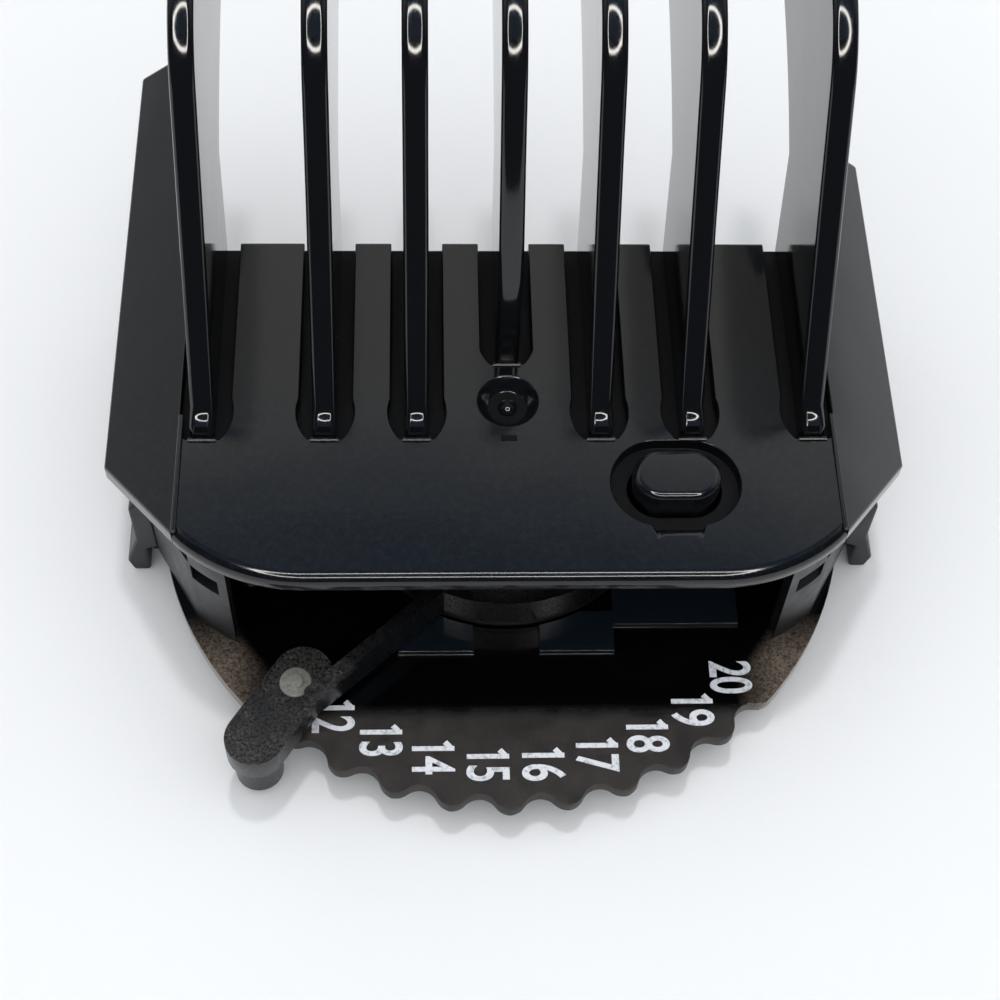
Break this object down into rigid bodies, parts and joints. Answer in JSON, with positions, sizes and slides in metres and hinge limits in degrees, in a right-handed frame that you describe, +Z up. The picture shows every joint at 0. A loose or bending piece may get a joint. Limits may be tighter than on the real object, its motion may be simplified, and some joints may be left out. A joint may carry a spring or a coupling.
{
  "type": "hair clipper comb attachment",
  "caption": "Adjustable comb attachment for a hair clipper: curved teeth on a sliding cover, raised by a lever over a numbered, scalloped sector plate.",
  "frame": {"origin": "on the lever's pivot axis, at the level that the attachment rests on", "axes": "+Z up along the pivot axis and the comb's travel, +Y towards the tips of the teeth, +X to the right seen from the numbered front"},
  "size_m": [0.0506, 0.0555, 0.0358],
  "materials": {
    "comb_black": "glossy black moulding",
    "frame_black": "satin black moulding",
    "cam_black": "low-friction black moulding",
    "sector_brown": "fine grained dark brown-grey",
    "lever_black": "fine grained black",
    "insert_grey": "grained grey",
    "button_black": "glossy black moulding",
    "numeral_white": "printed white",
    "steel": "bright steel"
  },
  "bodies": {
    "base": {"base_frame": "frame_black", "left_cheek": "frame_black", "left_clip": "frame_black", "left_guide_socket": "frame_black", "pivot_post": "steel", "pivot_screw": "steel", "pivot_washer": "steel", "right_cheek": "frame_black", "right_clip": "frame_black", "right_guide_socket": "frame_black", "sector_plate": "sector_brown", "sector_screws": "steel"},
    "lever": {"cam_drum": "cam_black", "adjusting_lever": "lever_black", "pad_rivet": "insert_grey"},
    "comb": {"comb_plate": "comb_black", "button_cage": "frame_black", "button_spring": "steel", "left_wing": "comb_black", "left_follower_peg": "cam_black", "left_guide_leg": "frame_black", "left_return_spring": "steel", "right_wing": "comb_black", "right_follower_peg": "cam_black", "right_guide_leg": "frame_black", "right_return_spring": "steel", "tooth_1": "comb_black", "tooth_2": "comb_black", "tooth_3": "comb_black", "tooth_4": "comb_black", "tooth_5": "comb_black", "tooth_6": "comb_black", "tooth_7": "comb_black"},
    "button": {"release_button": "button_black"}
  },
  "joints": [
    {"name": "lever_turn", "type": "hinge", "parent": "base", "child": "lever", "pos_m": [0, 0, 0.003], "axis": [0, 0, 1], "range_deg": [0, 85.5]},
    {"name": "comb_lift", "type": "slide", "parent": "base", "child": "comb", "axis": [0, 0, 1], "range_m": [0, 0.009], "deforming": ["left_return_spring", "right_return_spring"]},
    {"name": "button_press", "type": "slide", "parent": "comb", "child": "button", "axis": [0, 0, -1], "range_m": [0, 0.001], "stiffness_N_per_m": 300, "springref_m": -0.0003, "deforming": ["button_spring"]}
  ],
  "couplings": [
    {"joint": "lever_turn", "follows": "comb_lift", "rad_per_m": 165.8}
  ]
}
